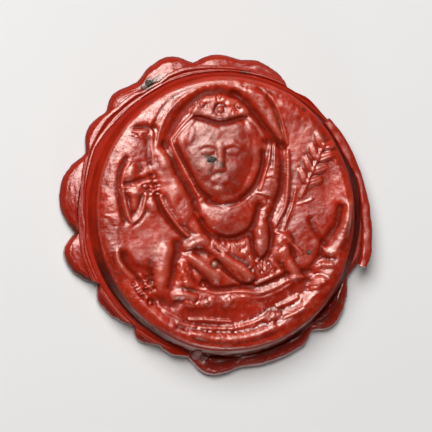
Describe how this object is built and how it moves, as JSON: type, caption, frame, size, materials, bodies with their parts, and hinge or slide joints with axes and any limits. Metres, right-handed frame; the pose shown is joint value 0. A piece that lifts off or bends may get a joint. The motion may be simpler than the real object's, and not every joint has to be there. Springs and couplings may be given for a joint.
{
  "type": "pressed wax seal",
  "caption": "Round red sealing wax impression with a raised pressed pad, a seated crowned figure in low relief and a scalloped flange of wax runs.",
  "frame": {"origin": "centre of the pressed pad's axis on the flat back face", "axes": "+Z out of the pressed face, +Y towards the top of the design, +X to its right"},
  "size_m": [0.0298, 0.0304, 0.0047],
  "materials": {
    "pad_wax": "glossy deep red sealing wax, worn, with fine scratches and pale dust in the hollows",
    "run_wax": "glossy red sealing wax with flow ridges and chipped pale edges",
    "flap_wax": "glossy red sealing wax with one pale broken end",
    "back_wax": "satin darker red wax",
    "grit": "rough dark grains"
  },
  "bodies": {
    "root": {"backing_pour": "back_wax", "edge_run_01": "run_wax", "edge_run_02": "run_wax", "edge_run_03": "run_wax", "edge_run_04": "run_wax", "edge_run_05": "run_wax", "edge_run_06": "run_wax", "edge_run_07": "run_wax", "edge_run_08": "run_wax", "edge_run_09": "run_wax", "edge_run_10": "run_wax", "edge_run_11": "run_wax", "edge_run_12": "run_wax", "edge_run_13": "run_wax", "edge_run_14": "run_wax", "edge_run_15": "run_wax", "pressed_pad": "pad_wax", "squeezed_collar": "run_wax", "side_flap": "flap_wax", "wall_drip": "run_wax", "grit_grain_01": "grit", "grit_grain_02": "grit", "grit_grain_03": "grit"}
  },
  "joints": []
}
